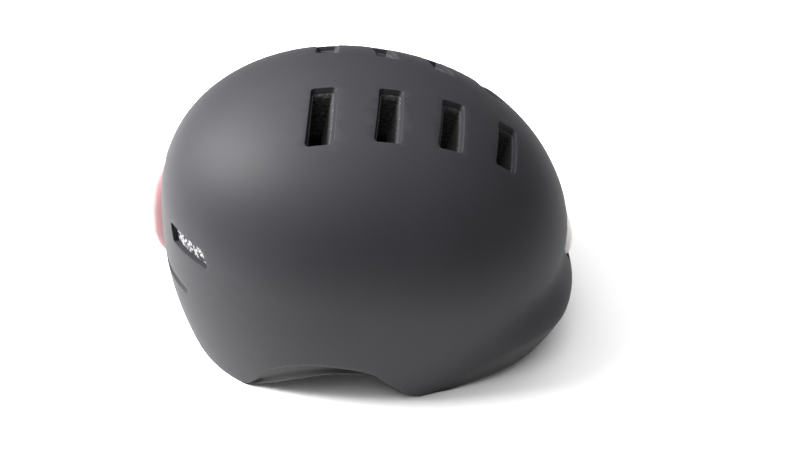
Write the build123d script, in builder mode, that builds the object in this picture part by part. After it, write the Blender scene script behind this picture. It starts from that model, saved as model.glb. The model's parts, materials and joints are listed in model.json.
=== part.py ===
"""Cycling helmet with built-in lights, a dial fit system and a chin strap.

Frame: +X forwards, +Y to the wearer's left, +Z up, millimetres.  The helmet stands on its
temple flaps and rear corners at z = 0.  x = 0 is half way between brim and rear lens.
"""
from build123d import *
from math import cos, sin, radians, degrees, pi
import os

os.makedirs("parts", exist_ok=True)

# ------------------------------------------------------------------ driving dimensions
# dome: oval in plan, tilted nose down about a pivot at waist height
DOME_HALF_LENGTH = 133.0
DOME_HALF_WIDTH = 112.8
DOME_RISE = 91.1
DOME_CENTRE = 1.0
NOSE_DOWN = 11.6
PIVOT_X = -2.25
WAIST_Z = 81.0
SKIRT_DEPTH = 126.0
TUCK = 0.12

# brim: a low oval drum set forwards, with a rolled top
BRIM_TIP = 146.45
BRIM_CENTRE = 20.0
BRIM_HALF_WIDTH = 106.5
BRIM_Z = 33.0
BRIM_RISE = 31.0
BRIM_TOP_Z = 70.0
FLOOR_MARGIN = 10.0

# walls
SHELL_WALL = 2.0
BOND_GAP = 0.4
WRAP_JOINT = 0.2
FOAM_LIFT = 2.4
FOAM_DEPTH = 27.0
PAD_GAP = 0.4
PAD_THICKNESS = 7.5

# vents: two rows, each opening a parallelogram drawn along the dome's axis
VENT_COUNT = 4
VENT_WIDTH = 14.8
VENT_FIRST_X = -44.6
VENT_PITCH = 37.0
VENT_INNER_Y = 23.6
VENT_INNER_STEP = -2.0
VENT_OUTER_Y = 64.2
VENT_OUTER_STEP = -2.9
VENT_SWEEP = 2.4
VENT_CORNER = 4.0
FLANGE_WALL = 1.6
FLANGE_DEPTH = 6.0
CHANNEL_GAP = 0.4

# rear lamp, in a plane leaning with the back of the shell
REAR_LAMP_X = -125.5
REAR_LAMP_Z = 84.0
REAR_LAMP_LEAN = 9.0
REAR_LENS_WIDTH = 45.0
REAR_LENS_LOW = -38.4
REAR_LENS_HIGH = 37.2
REAR_LENS_PROUD = 17.9
LENS_WALL = 2.0
LAMP_DEPTH = 9.0
LAMP_WALL = 1.6
LAMP_GAP = 0.4
BOARD_THICKNESS = 1.2

# front lamp
FRONT_LAMP_X = 120.0
FRONT_LAMP_Z = 70.0
FRONT_LAMP_LEAN = 14.0
FRONT_LENS_WIDTH = 52.0
FRONT_LENS_LOW = -28.6
FRONT_LENS_HIGH = 22.3
FRONT_LENS_PROUD = 16.0

# controls in the rear lamp
BUTTON_RADIUS = 5.5
BUTTON_TRAVEL = 1.0
BUTTON_HEIGHT = -22.0
BUTTON_GAP = 0.2
USB_WIDTH = 9.2
USB_DEPTH = 3.4

# flat cable between the lamps
CABLE_WIDTH = 8.0
CABLE_THICKNESS = 1.0
CABLE_GAP = 0.3

# fit system: two toothed arms on one vertical arc, driven by a dial
ARC_X = -27.5
ARC_RADIUS = 78.0
ARM_THICKNESS = 2.0
ARM_GAP = 0.5
CRADLE_Z = 24.0
PINION_RADIUS = 6.0
PINION_TEETH = 8
TOOTH_HEIGHT = 2.2
TOOTH_WIDTH = 1.5
RACK_GAP = 2.9
RACK_TOP = 11.2
DIAL_SWING = 120.0
CRADLE_HALF_ARC = 34.0
CRADLE_PLATE = 2.0
RAIL_INNER = 12.0
RAIL_OUTER = 17.0
DIAL_RADIUS = 15.0
DIAL_THICKNESS = 10.0
SHAFT_RADIUS = 2.5
RUNNING_GAP = 0.05
PIN_ANGLE = 76.0
PIN_Z = 45.0
PIN_RADIUS = 2.0

# chin strap
WEB_WIDTH = 15.0
WEB_THICKNESS = 1.6
STRAP_Z = 0.4
CHIN_ARC_X = 10.0
CHIN_ARC_RADIUS = 54.0
DIVIDER_X = 12.0
DIVIDER_Y = 63.0
DIVIDER_LENGTH = 24.0
DIVIDER_WIDTH = 20.0
DIVIDER_THICKNESS = 3.6
BUCKLE_DEPTH = 8.0
BUCKLE_X = 66.0
BUCKLE_HEIGHT = 20.0
TONGUE_THICKNESS = 3.0

FAR = 320.0

# ------------------------------------------------------------------ dome surfaces
TILT = radians(NOSE_DOWN)
DOME_PLANE = Plane(origin=(PIVOT_X, 0, WAIST_Z), x_dir=(cos(TILT), 0, -sin(TILT)),
                   z_dir=(sin(TILT), 0, cos(TILT)))


def turned(profile, stretch, centre):
    """Turn a side profile about the upright axis and stretch it along X, then shift it."""
    with BuildPart(mode=Mode.PRIVATE) as body:
        with BuildSketch(Plane.XZ):
            add(profile)
        revolve(axis=Axis.Z)
    return Pos(centre, 0, 0) * scale(body.part, by=(stretch, 1, 1), mode=Mode.PRIVATE)


def dome(inset):
    """Solid dome, inset from the outer skin, from the skirt up to the crown."""
    radius = DOME_HALF_WIDTH - inset
    rise = DOME_RISE - inset
    with BuildSketch(mode=Mode.PRIVATE) as profile:
        with BuildLine():
            Polyline((0, rise), (0, -SKIRT_DEPTH), (radius * (1 - TUCK), -SKIRT_DEPTH))
            ThreePointArc((radius * (1 - TUCK), -SKIRT_DEPTH),
                          (radius * (1 - TUCK / 4), -SKIRT_DEPTH / 2), (radius, 0))
            EllipticalCenterArc((0, 0), radius, rise, start_angle=0, arc_size=90)
        make_face()
    stretch = (DOME_HALF_LENGTH - inset) / radius
    return DOME_PLANE.location * turned(profile.sketch, stretch, DOME_CENTRE)


def brim(inset):
    """Solid body of the brim: a low oval drum set forwards, with a rolled top."""
    radius = BRIM_HALF_WIDTH - inset
    with BuildSketch(mode=Mode.PRIVATE) as profile:
        with BuildLine():
            Polyline((0, BRIM_TOP_Z - inset), (0, -FLOOR_MARGIN), (radius, -FLOOR_MARGIN), (radius, BRIM_Z))
            ThreePointArc((radius, BRIM_Z), (radius * 0.965, BRIM_Z + 0.4 * BRIM_RISE - inset),
                          (radius * 0.875, BRIM_Z + BRIM_RISE - inset))
            Line((radius * 0.875, BRIM_Z + BRIM_RISE - inset), (0, BRIM_TOP_Z - inset))
        make_face()
    stretch = (BRIM_TIP - BRIM_CENTRE - inset) / radius
    return turned(profile.sketch, stretch, BRIM_CENTRE)


def hull(inset):
    """Dome and brim together, inset from the outer skin."""
    with BuildPart(mode=Mode.PRIVATE) as body:
        add(dome(inset))
        add(brim(inset))
    return body.part


def zone_above(stretches):
    """Everything above a side-view line.  Stretches are straight runs or smooth curves."""
    with BuildPart(mode=Mode.PRIVATE) as zone:
        with BuildSketch(Plane.XZ):
            with BuildLine():
                for kind, points in stretches:
                    if kind == "run":
                        Polyline(*points)
                    else:
                        Spline(*points)
                first, last = stretches[0][1][0], stretches[-1][1][-1]
                Polyline(last, (last[0], FAR), (first[0], FAR), first)
            make_face()
        extrude(amount=FAR / 2, both=True)
    return zone.part


def lower_line(lift):
    """The helmet's lower edge: rear land, ear arch, temple land, rise to the brim."""
    arch = [(-84, 0), (-66, 12), (-46, 24), (-24, 32), (-6, 34), (4, 25), (13, 13), (26, 0)]
    front = [(48, 0), (70, 6.5), (89, 10), (104, 19), (121, 29), (160, 35)]
    return [
        ("run", [(-170, 7 + lift), (-124, 6 + lift), (-108, lift), (-84, lift)]),
        ("curve", [(x, z + lift) for x, z in arch]),
        ("run", [(26, lift), (48, lift)]),
        ("curve", [(x, z + lift) for x, z in front]),
    ]


def shell_line(lift):
    """The shell's edge: just above the wrap, up over the ear, then the brim's crease."""
    arch = [(-84, 2.2), (-75, 12), (-63, 28), (-50, 37), (-34, 40.5), (-16, 39.5), (-4, 36),
            (5, 27), (14, 16), (26, 2.2)]
    crease = [(31, 2.2), (45.5, 9), (63.5, 21), (76, 27.5), (90, 32.5), (118, 33.6), (160, 37)]
    return [
        ("run", [(-170, 9 + lift), (-124, 8 + lift), (-108, 2.2 + lift), (-84, 2.2 + lift)]),
        ("curve", [(x, z + lift) for x, z in arch]),
        ("run", [(26, 2.2 + lift), (31, 2.2 + lift)]),
        ("curve", [(x, z + lift) for x, z in crease]),
    ]


# ------------------------------------------------------------------ openings in shell and foam
def vent_prisms(grow):
    """All vents as prisms along the dome's axis, each side grown by the given amount."""
    with BuildPart(mode=Mode.PRIVATE) as prisms:
        for side in (-1, 1):
            for k in range(VENT_COUNT):
                x = VENT_FIRST_X + VENT_PITCH * k
                y0 = VENT_INNER_Y + VENT_INNER_STEP * k - grow
                y1 = VENT_OUTER_Y + VENT_OUTER_STEP * k + grow
                sweep = VENT_SWEEP * k
                half = VENT_WIDTH / 2 + grow
                with BuildSketch(DOME_PLANE):
                    with BuildLine():
                        Polyline((x - half, side * y0), (x + half, side * y0),
                                 (x + half - sweep, side * y1), (x - half - sweep, side * y1),
                                 close=True)
                    make_face()
                    fillet(vertices(), VENT_CORNER + grow)
                extrude(amount=FAR / 2)
    return prisms.part


def upper_slot(side):
    """Exhaust slot beside the rear lens."""
    plane = Plane(origin=(-106, side * 69.5, 99), x_dir=(0.71, side * 0.70, 0),
                  z_dir=(-0.67, side * 0.68, 0.3))
    with BuildPart(mode=Mode.PRIVATE) as slot:
        with BuildSketch(plane):
            with BuildLine():
                Polyline((-18, -6.5), (16, -5), (20.5, 6.5), (-14, 6), close=True)
            make_face()
            fillet(vertices(), 2.2)
        extrude(amount=16, both=True)
    return slot.part


def lower_slot(side):
    """Tapered exhaust slot lower down."""
    plane = Plane(origin=(-121, side * 55, 63), x_dir=(0.479, side * 0.878, 0),
                  z_dir=(-0.878, side * 0.479, 0))
    with BuildPart(mode=Mode.PRIVATE) as slot:
        with BuildSketch(plane):
            with BuildLine():
                Polyline((-18, -5), (18, -2.4), (18, 2), (-18, 5), close=True)
            make_face()
            fillet(vertices(), 1.2)
        extrude(amount=14, both=True)
    return slot.part


# lamp planes: x up the lamp's face, y out of the shell, z across
REAR_UP = Vector(sin(radians(REAR_LAMP_LEAN)), 0, cos(radians(REAR_LAMP_LEAN)))
REAR_SIDE = Plane(origin=(REAR_LAMP_X, 0, REAR_LAMP_Z), x_dir=REAR_UP, z_dir=(0, -1, 0))
REAR_FACE = Plane(origin=(REAR_LAMP_X, 0, REAR_LAMP_Z), x_dir=(0, -1, 0), z_dir=REAR_SIDE.y_dir)
FRONT_UP = Vector(-sin(radians(FRONT_LAMP_LEAN)), 0, cos(radians(FRONT_LAMP_LEAN)))
FRONT_SIDE = Plane(origin=(FRONT_LAMP_X, 0, FRONT_LAMP_Z), x_dir=FRONT_UP, z_dir=(0, 1, 0))
FRONT_FACE = Plane(origin=(FRONT_LAMP_X, 0, FRONT_LAMP_Z), x_dir=(0, 1, 0),
                   z_dir=FRONT_SIDE.y_dir)


def face_box(plane, low, high, width, back, front):
    """Block in a lamp's plane, between two heights and two depths."""
    with BuildPart(mode=Mode.PRIVATE) as block:
        with BuildSketch(plane.offset(back)):
            with Locations((0, (low + high) / 2)):
                Rectangle(width, high - low)
        extrude(amount=front - back)
    return block.part


def lamp_pocket(plane, low, high, width):
    """Room for a lamp in the shell and foam."""
    return face_box(plane, low - LAMP_GAP, high + LAMP_GAP, width + 2 * LAMP_GAP,
                    -LAMP_DEPTH - LAMP_GAP, 40)


rear_pocket = lamp_pocket(REAR_FACE, REAR_LENS_LOW, REAR_LENS_HIGH, REAR_LENS_WIDTH)
front_pocket = lamp_pocket(FRONT_FACE, FRONT_LENS_LOW, FRONT_LENS_HIGH, FRONT_LENS_WIDTH)
cover_pocket = face_box(REAR_FACE, REAR_LENS_LOW - 2.4, REAR_LENS_LOW, USB_WIDTH + 5, 2.4, 20)
slots = [slot(side) for slot in (upper_slot, lower_slot) for side in (-1, 1)]

# ------------------------------------------------------------------ shell, wrap and foam
def save(part, name):
    """Label a finished piece and write its file."""
    part.label = name
    export_step(part, f"parts/{name}.step")


def box(x, y, z):
    """Block between two values on each axis."""
    block = Box(x[1] - x[0], y[1] - y[0], z[1] - z[0], mode=Mode.PRIVATE)
    return Pos(sum(x) / 2, sum(y) / 2, sum(z) / 2) * block


FOAM_OUTER = SHELL_WALL + BOND_GAP
PAD_OUTER = FOAM_DEPTH + PAD_GAP
outer_hull = hull(0)
inner_hull = hull(SHELL_WALL)
vents = vent_prisms(0)

with BuildPart() as flanges:
    add(vent_prisms(FLANGE_WALL))
    add(dome(SHELL_WALL / 2), mode=Mode.INTERSECT)
    add(dome(FLANGE_DEPTH), mode=Mode.SUBTRACT)

with BuildPart() as outer_shell:
    add(outer_hull)
    add(zone_above(shell_line(0)), mode=Mode.INTERSECT)
    add(inner_hull, mode=Mode.SUBTRACT)
    add(flanges.part)
    add(vents, mode=Mode.SUBTRACT)
    add(slots, mode=Mode.SUBTRACT)
    add([rear_pocket, front_pocket, cover_pocket], mode=Mode.SUBTRACT)
save(outer_shell.part, "outer_shell")

with BuildPart() as lower_wrap:
    add(outer_hull)
    add(zone_above(lower_line(0)), mode=Mode.INTERSECT)
    add(zone_above(shell_line(-WRAP_JOINT)), mode=Mode.SUBTRACT)
    add(inner_hull, mode=Mode.SUBTRACT)
save(lower_wrap.part, "lower_wrap")


def crown_strip(width, outer, inner, ends):
    """Strip that follows the dome over the crown between the two lamps."""
    with BuildPart(mode=Mode.PRIVATE) as strip:
        add(box(ends, (-width / 2, width / 2), (REAR_LAMP_Z, FAR)))
        add(dome(outer), mode=Mode.INTERSECT)
        add(dome(inner), mode=Mode.SUBTRACT)
        add([rear_pocket, front_pocket], mode=Mode.SUBTRACT)
    return strip.part


cable_ends = (REAR_LAMP_X, FRONT_LAMP_X)
groove_outer, groove_inner = FOAM_OUTER - BOND_GAP / 2, FOAM_OUTER + CABLE_GAP + CABLE_THICKNESS + CABLE_GAP
with BuildPart() as lamp_cable:
    add(crown_strip(CABLE_WIDTH, FOAM_OUTER + CABLE_GAP, FOAM_OUTER + CABLE_GAP + CABLE_THICKNESS,
                    cable_ends))
save(lamp_cable.part, "lamp_cable")

# strap anchors sit in pockets in the foam's underside
ANCHOR_SIZE = (16.0, 12.0, 8.0)
ANCHOR_GAP = 0.3
ANCHOR_Z = STRAP_Z + WEB_THICKNESS + 0.2
ANCHORS = {"front": (42.0, 80.0), "rear": (-78.0, 78.0)}
anchor_spots = [(x, side * y) for x, y in ANCHORS.values() for side in (-1, 1)]


def anchor_blocks(grow):
    """The four anchor blocks, or their pockets when grown."""
    with BuildPart(mode=Mode.PRIVATE) as blocks:
        with BuildSketch(Plane.XY.offset(ANCHOR_Z - grow)):
            with Locations(*anchor_spots):
                RectangleRounded(ANCHOR_SIZE[0] + 2 * grow, ANCHOR_SIZE[1] + 2 * grow, 3)
        extrude(amount=ANCHOR_SIZE[2] + 2 * grow)
    return blocks.part


save(anchor_blocks(0), "strap_anchors")

# recess at the nape for the dial and its travel
DIAL_FRONT_X = ARC_X - ARC_RADIUS - ARM_THICKNESS / 2 - 0.6 - CRADLE_PLATE - 0.8
dial_recess = box((DIAL_FRONT_X - DIAL_THICKNESS - 6.0, ARC_X - ARC_RADIUS),
                  (-DIAL_RADIUS - 3, DIAL_RADIUS + 3), (-FLOOR_MARGIN, CRADLE_Z + DIAL_RADIUS + 20))

with BuildPart() as eps_liner:
    add(hull(FOAM_OUTER))
    add(zone_above(lower_line(FOAM_LIFT)), mode=Mode.INTERSECT)
    add(dome(FOAM_DEPTH), mode=Mode.SUBTRACT)
    add(vent_prisms(FLANGE_WALL + CHANNEL_GAP), mode=Mode.SUBTRACT)
    add(slots, mode=Mode.SUBTRACT)
    add([rear_pocket, front_pocket, cover_pocket], mode=Mode.SUBTRACT)
    add(crown_strip(CABLE_WIDTH + 2 * CABLE_GAP, groove_outer - 1, groove_inner, cable_ends),
        mode=Mode.SUBTRACT)
    add(anchor_blocks(ANCHOR_GAP), mode=Mode.SUBTRACT)
    add(dial_recess, mode=Mode.SUBTRACT)
save(eps_liner.part, "eps_liner")

# ------------------------------------------------------------------ comfort pads
pad_outer_dome = dome(PAD_OUTER)
pad_inner_dome = dome(PAD_OUTER + PAD_THICKNESS)
PADS = {
    "brow_pad": ((58, 115), (-52, 52), (50, 74)),
    "crown_pad": ((-50, 60), (-9, 9), (110, 170)),
    "side_pad_left": ((-45, 35), (50, 95), (84, 104)),
    "side_pad_right": ((-45, 35), (-95, -50), (84, 104)),
    "rear_pad": ((-115, -60), (-34, 34), (84, 104)),
}
for name, (x, y, z) in PADS.items():
    with BuildPart() as pad:
        add(box(x, y, z))
        add(pad_outer_dome, mode=Mode.INTERSECT)
        add(pad_inner_dome, mode=Mode.SUBTRACT)
    save(pad.part, name)


# ------------------------------------------------------------------ lamps
SCREW_RADIUS = 1.1
SCREW_HEAD = 2.0
SCREW_HEAD_HEIGHT = 1.4
SCREW_GAP = 0.08
BOSS_RADIUS = 2.8
BOSS_OVERLAP = 0.7
SEAL_GAP = 0.2
LED_SIZE = 3.0
LED_HEIGHT = 1.2
BOARD_FRONT = -2.0
REFLECTOR_BACK = 0.6
REFLECTOR_FRONT = 5.0
LENS_BOSS_TOP = 3.8


class Lamp:
    """One lamp's planes and sizes; heights run up its face, depths out of the shell."""

    def __init__(self, name, side, face, low, high, width, outline, leds):
        self.name, self.side, self.face = name, side, face
        self.low, self.high, self.width = low, high, width
        self.outline, self.leds = outline, leds
        corner = LENS_WALL + BOSS_RADIUS - BOSS_OVERLAP
        self.corners = [(sx * (width / 2 - corner), y) for sx in (-1, 1)
                        for y in (low + corner, high - corner)]


def lamp_lens(lamp):
    """Clear cover: hollow, open at the back, with a boss at each corner."""
    with BuildPart(mode=Mode.PRIVATE) as lens:
        with BuildSketch(lamp.side):
            with BuildLine():
                Polyline((lamp.low, SEAL_GAP), *lamp.outline, (lamp.high, SEAL_GAP), close=True)
            make_face()
        extrude(amount=lamp.width / 2, both=True)
        with BuildPart(mode=Mode.PRIVATE) as room:
            with BuildSketch(lamp.side):
                with BuildLine():
                    Polyline((lamp.low, -LENS_WALL - 1), *lamp.outline, (lamp.high, -LENS_WALL - 1),
                             close=True)
                make_face()
                offset(amount=-LENS_WALL, kind=Kind.INTERSECTION)
            extrude(amount=lamp.width / 2 - LENS_WALL, both=True)
        add(room.part, mode=Mode.SUBTRACT)
        with BuildSketch(lamp.face.offset(SEAL_GAP)):
            with Locations(*lamp.corners):
                Circle(BOSS_RADIUS)
        extrude(amount=LENS_BOSS_TOP - SEAL_GAP)
        with BuildSketch(lamp.face):
            with Locations(*lamp.corners):
                Circle(SCREW_RADIUS + SCREW_GAP)
        extrude(amount=LENS_BOSS_TOP - 0.4, mode=Mode.SUBTRACT)
    return lens.part


def lamp_housing(lamp):
    """Tub behind the shell, with a boss and a counterbored hole at each corner."""
    with BuildPart(mode=Mode.PRIVATE) as tub:
        add(face_box(lamp.face, lamp.low, lamp.high, lamp.width, -LAMP_DEPTH, 0))
        add(face_box(lamp.face, lamp.low + LAMP_WALL, lamp.high - LAMP_WALL,
                     lamp.width - 2 * LAMP_WALL, LAMP_WALL - LAMP_DEPTH, 1), mode=Mode.SUBTRACT)
        with BuildSketch(lamp.face.offset(-LAMP_DEPTH)):
            with Locations(*lamp.corners):
                Circle(BOSS_RADIUS)
        extrude(amount=LAMP_DEPTH)
        with BuildSketch(lamp.face.offset(-LAMP_DEPTH)):
            with Locations(*lamp.corners):
                Circle(SCREW_RADIUS + SCREW_GAP)
        extrude(amount=LAMP_DEPTH, mode=Mode.SUBTRACT)
        with BuildSketch(lamp.face.offset(-LAMP_DEPTH)):
            with Locations(*lamp.corners):
                Circle(SCREW_HEAD + SCREW_GAP)
        extrude(amount=SCREW_HEAD_HEIGHT + 0.2, mode=Mode.SUBTRACT)
    return tub.part


def lamp_screws(lamp):
    """Four pan screws from the tub's back into the lens bosses."""
    with BuildPart(mode=Mode.PRIVATE) as screws:
        with BuildSketch(lamp.face.offset(-LAMP_DEPTH + 0.2)):
            with Locations(*lamp.corners):
                Circle(SCREW_HEAD)
        extrude(amount=SCREW_HEAD_HEIGHT)
        with BuildSketch(lamp.face.offset(-LAMP_DEPTH + 0.2 + SCREW_HEAD_HEIGHT)):
            with Locations(*lamp.corners):
                Circle(SCREW_RADIUS)
        extrude(amount=LAMP_DEPTH - SCREW_HEAD_HEIGHT - 0.2 + LENS_BOSS_TOP - 0.8)
    return screws.part


def lamp_board(lamp):
    """Circuit board between the corner bosses."""
    return face_box(lamp.face, lamp.low + 9, lamp.high - 9, lamp.width - 5,
                    BOARD_FRONT - BOARD_THICKNESS, BOARD_FRONT)


def lamp_leds(lamp):
    """The light emitters on the board."""
    with BuildPart(mode=Mode.PRIVATE) as leds:
        with BuildSketch(lamp.face.offset(BOARD_FRONT)):
            with Locations(*lamp.leds):
                Rectangle(LED_SIZE, LED_SIZE)
        extrude(amount=LED_HEIGHT)
    return leds.part


def lamp_reflector(lamp):
    """Plate with a flared cup round each emitter."""
    height = REFLECTOR_FRONT - REFLECTOR_BACK
    with BuildPart(mode=Mode.PRIVATE) as plate:
        add(face_box(lamp.face, lamp.low + 9, lamp.high - 8.5, lamp.width - 6,
                     REFLECTOR_BACK, REFLECTOR_FRONT))
        with Locations(lamp.face.offset((REFLECTOR_BACK + REFLECTOR_FRONT) / 2)):
            with Locations(*lamp.leds):
                Cone(LED_SIZE * 0.8, LED_SIZE * 1.6, height, mode=Mode.SUBTRACT)
    return plate.part


rear_lamp = Lamp("rear", REAR_SIDE, REAR_FACE, REAR_LENS_LOW, REAR_LENS_HIGH, REAR_LENS_WIDTH,
                 [(REAR_LENS_LOW, 9.1), (-30, 16.2), (-20, REAR_LENS_PROUD), (0, 17.4),
                  (18.5, 14.4), (30, 9.4), (REAR_LENS_HIGH, 5.3)],
                 [(x, y) for y in (-1, 12, 23) for x in (-11, 0, 11)])
front_lamp = Lamp("front", FRONT_SIDE, FRONT_FACE, FRONT_LENS_LOW, FRONT_LENS_HIGH,
                  FRONT_LENS_WIDTH,
                  [(FRONT_LENS_LOW, 11.8), (-26, 14.6), (-14, FRONT_LENS_PROUD), (4, 13.6),
                   (FRONT_LENS_HIGH, 7.8)],
                 [(x, -4) for x in (-15, -5, 5, 15)])

# power button through the rear lens, over a switch on the board
BUTTON_FRONT = REAR_LENS_PROUD - 1.3
BUTTON_BACK = BUTTON_FRONT - 5.0
BUTTON_COLLAR = 1.4
SWITCH_RADIUS = 3.2


def rod(plane, x, y, radius, back, front):
    """Round rod in a lamp's plane."""
    with BuildPart(mode=Mode.PRIVATE) as bar:
        with BuildSketch(plane.offset(back)):
            with Locations((x, y)):
                Circle(radius)
        extrude(amount=front - back)
    return bar.part


for lamp in (rear_lamp, front_lamp):
    save(lamp_housing(lamp), f"{lamp.name}_light_housing")
    save(lamp_board(lamp), f"{lamp.name}_light_board")
    save(lamp_leds(lamp), f"{lamp.name}_light_leds")
    save(lamp_screws(lamp), f"{lamp.name}_light_screws")
save(lamp_reflector(front_lamp), "front_light_reflector")
save(lamp_lens(front_lamp), "front_light_lens")

with BuildPart() as rear_reflector:
    add(lamp_reflector(rear_lamp))
    add(rod(REAR_FACE, 0, BUTTON_HEIGHT, SWITCH_RADIUS + 0.6, 0, 10), mode=Mode.SUBTRACT)
save(rear_reflector.part, "rear_light_reflector")

with BuildPart() as power_switch:
    add(rod(REAR_FACE, 0, BUTTON_HEIGHT, SWITCH_RADIUS, BOARD_FRONT,
            BUTTON_BACK - BUTTON_TRAVEL - 0.3))
save(power_switch.part, "power_switch")

with BuildPart() as power_button:
    add(rod(REAR_FACE, 0, BUTTON_HEIGHT, BUTTON_RADIUS, BUTTON_BACK, BUTTON_FRONT))
    add(rod(REAR_FACE, 0, BUTTON_HEIGHT, BUTTON_RADIUS + BUTTON_COLLAR, BUTTON_BACK,
            BUTTON_BACK + 1.0))
save(power_button.part, "power_button")

# charging port in the lens's underside, with a rubber cover that slides out along it
USB_BACK = 4.0
USB_INSIDE = REAR_LENS_LOW + 8.0
COVER_GAP = 0.2
COVER_THICKNESS = 1.2


def lamp_block(low, high, width, back, front):
    """Block in the rear lamp's plane."""
    return face_box(REAR_FACE, low, high, width, back, front)


with BuildPart() as usb_port:
    add(lamp_block(REAR_LENS_LOW + 0.3, USB_INSIDE, USB_WIDTH, USB_BACK, USB_BACK + USB_DEPTH))
    add(lamp_block(REAR_LENS_LOW, USB_INSIDE - 1, USB_WIDTH - 0.8, USB_BACK + 0.4,
                   USB_BACK + USB_DEPTH - 0.4), mode=Mode.SUBTRACT)
save(usb_port.part, "usb_port")

with BuildPart() as rear_lens:
    add(lamp_lens(rear_lamp))
    add(rod(REAR_FACE, 0, BUTTON_HEIGHT, BUTTON_RADIUS + BUTTON_GAP, 6, 30), mode=Mode.SUBTRACT)
    add(lamp_block(REAR_LENS_LOW - 1, REAR_LENS_LOW + 3, USB_WIDTH + 0.4, USB_BACK - 0.2,
                   USB_BACK + USB_DEPTH + 0.2), mode=Mode.SUBTRACT)
save(rear_lens.part, "rear_light_lens")

with BuildPart() as usb_cover:
    add(lamp_block(REAR_LENS_LOW - COVER_GAP - COVER_THICKNESS, REAR_LENS_LOW - COVER_GAP,
                   USB_WIDTH + 4, USB_BACK - 0.4, USB_BACK + USB_DEPTH + 1))
save(usb_cover.part, "usb_cover")

with BuildPart() as battery:
    add(lamp_block(REAR_LENS_LOW + 10, REAR_LENS_HIGH - 12, REAR_LENS_WIDTH - 13,
                   LAMP_WALL - LAMP_DEPTH + 0.2, BOARD_FRONT - BOARD_THICKNESS - 0.2))
save(battery.part, "battery")


# ------------------------------------------------------------------ fit system
def sector(inner, outer, start, end, low, high):
    """Curved plate about the fit system's upright axis."""
    with BuildPart(mode=Mode.PRIVATE) as plate:
        with BuildSketch(Plane.XY.offset(low)):
            with BuildLine():
                near = CenterArc((ARC_X, 0), inner, start, end - start)
                far = CenterArc((ARC_X, 0), outer, start, end - start)
                Line(near @ 0, far @ 0)
                Line(near @ 1, far @ 1)
            make_face()
        extrude(amount=high - low)
    return plate.part


def radial_rod(angle, z, radius, inner, outer):
    """Round rod pointing away from the fit system's upright axis."""
    c, s = cos(radians(angle)), sin(radians(angle))
    return rod(Plane(origin=(ARC_X, 0, z), x_dir=(-s, c, 0), z_dir=(c, s, 0)), 0, 0, radius,
               inner, outer)


ARM_INNER = ARC_RADIUS - ARM_THICKNESS / 2
ARM_OUTER = ARC_RADIUS + ARM_THICKNESS / 2
PLATE_INNER = ARM_OUTER + ARM_GAP
PLATE_OUTER = PLATE_INNER + CRADLE_PLATE
COVER_OUTER = ARM_INNER - ARM_GAP
COVER_INNER = COVER_OUTER - CRADLE_PLATE
TOOTH_PITCH = 2 * pi * PINION_RADIUS / PINION_TEETH
RACK_STEP = degrees(TOOTH_PITCH / ARC_RADIUS)
ARM_SWING = DIAL_SWING * PINION_RADIUS / ARC_RADIUS
RACK_TEETH = 4
TAIL_END = RACK_STEP * (RACK_TEETH + 0.6)
SLOT_HALF = ARM_SWING + degrees((PIN_RADIUS + 0.6) / ARC_RADIUS)
PIN_X = ARC_X + ARC_RADIUS * cos(radians(PIN_ANGLE))


def arm(side):
    """Toothed arm: tall at the temple with a slot for the pin, a rack at the back."""
    def heading(angle):
        return side * angle

    def plate(inner, outer, start, end, low, high):
        first, last = sorted((heading(start), heading(end)))
        return sector(inner, outer, first, last, low, high)

    rack_low, rack_high = PINION_RADIUS - TOOTH_HEIGHT / 2, RACK_TOP
    tail = sorted((CRADLE_Z + side * rack_low, CRADLE_Z + side * rack_high))
    body = sorted((CRADLE_Z - side * 7.0, CRADLE_Z + side * RACK_TOP))
    with BuildPart(mode=Mode.PRIVATE) as strip:
        add(plate(ARM_INNER, ARM_OUTER, 62, 142, *body))
        add(plate(ARM_INNER, ARM_OUTER, 62, 90, CRADLE_Z, PIN_Z + 6))
        add(plate(ARM_INNER, ARM_OUTER, 141, 180 + TAIL_END, *tail))
        gap_half = degrees(RACK_GAP / 2 / ARC_RADIUS)
        gap = sorted((CRADLE_Z + side * (rack_low - 1),
                      CRADLE_Z + side * (PINION_RADIUS + TOOTH_HEIGHT / 2 + 0.3)))
        for k in range(-RACK_TEETH, RACK_TEETH + 1):
            middle = 180 + k * RACK_STEP
            add(plate(ARM_INNER - 1, ARM_OUTER + 1, middle - gap_half, middle + gap_half, *gap),
                mode=Mode.SUBTRACT)
        add(plate(ARM_INNER - 1, ARM_OUTER + 1, PIN_ANGLE - SLOT_HALF, PIN_ANGLE + SLOT_HALF,
                  PIN_Z - PIN_RADIUS - 0.35, PIN_Z + PIN_RADIUS + 0.35), mode=Mode.SUBTRACT)
    return strip.part


save(arm(1), "arm_left")
save(arm(-1), "arm_right")

CRADLE_SCREWS = [(180 + a, CRADLE_Z + z) for a in (-25, 25) for z in (-14.5, 14.5)]


def cradle_plate(inner, outer, low, high):
    """Curved plate over the cradle's arc, between two heights from its middle."""
    return sector(inner, outer, 180 - CRADLE_HALF_ARC, 180 + CRADLE_HALF_ARC,
                  CRADLE_Z + low, CRADLE_Z + high)


with BuildPart() as cradle_housing:
    add(cradle_plate(PLATE_INNER, PLATE_OUTER, -RAIL_OUTER, RAIL_OUTER))
    add(cradle_plate(COVER_OUTER + 0.1, PLATE_INNER, RAIL_INNER, RAIL_OUTER))
    add(cradle_plate(COVER_OUTER + 0.1, PLATE_INNER, -RAIL_OUTER, -RAIL_INNER))
    add(radial_rod(180, CRADLE_Z, SHAFT_RADIUS + RUNNING_GAP, 60, 100), mode=Mode.SUBTRACT)
    for angle, z in CRADLE_SCREWS:
        add(radial_rod(angle, z, SCREW_RADIUS + SCREW_GAP, 60, PLATE_OUTER - 0.8),
            mode=Mode.SUBTRACT)
save(cradle_housing.part, "cradle_housing")

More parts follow.
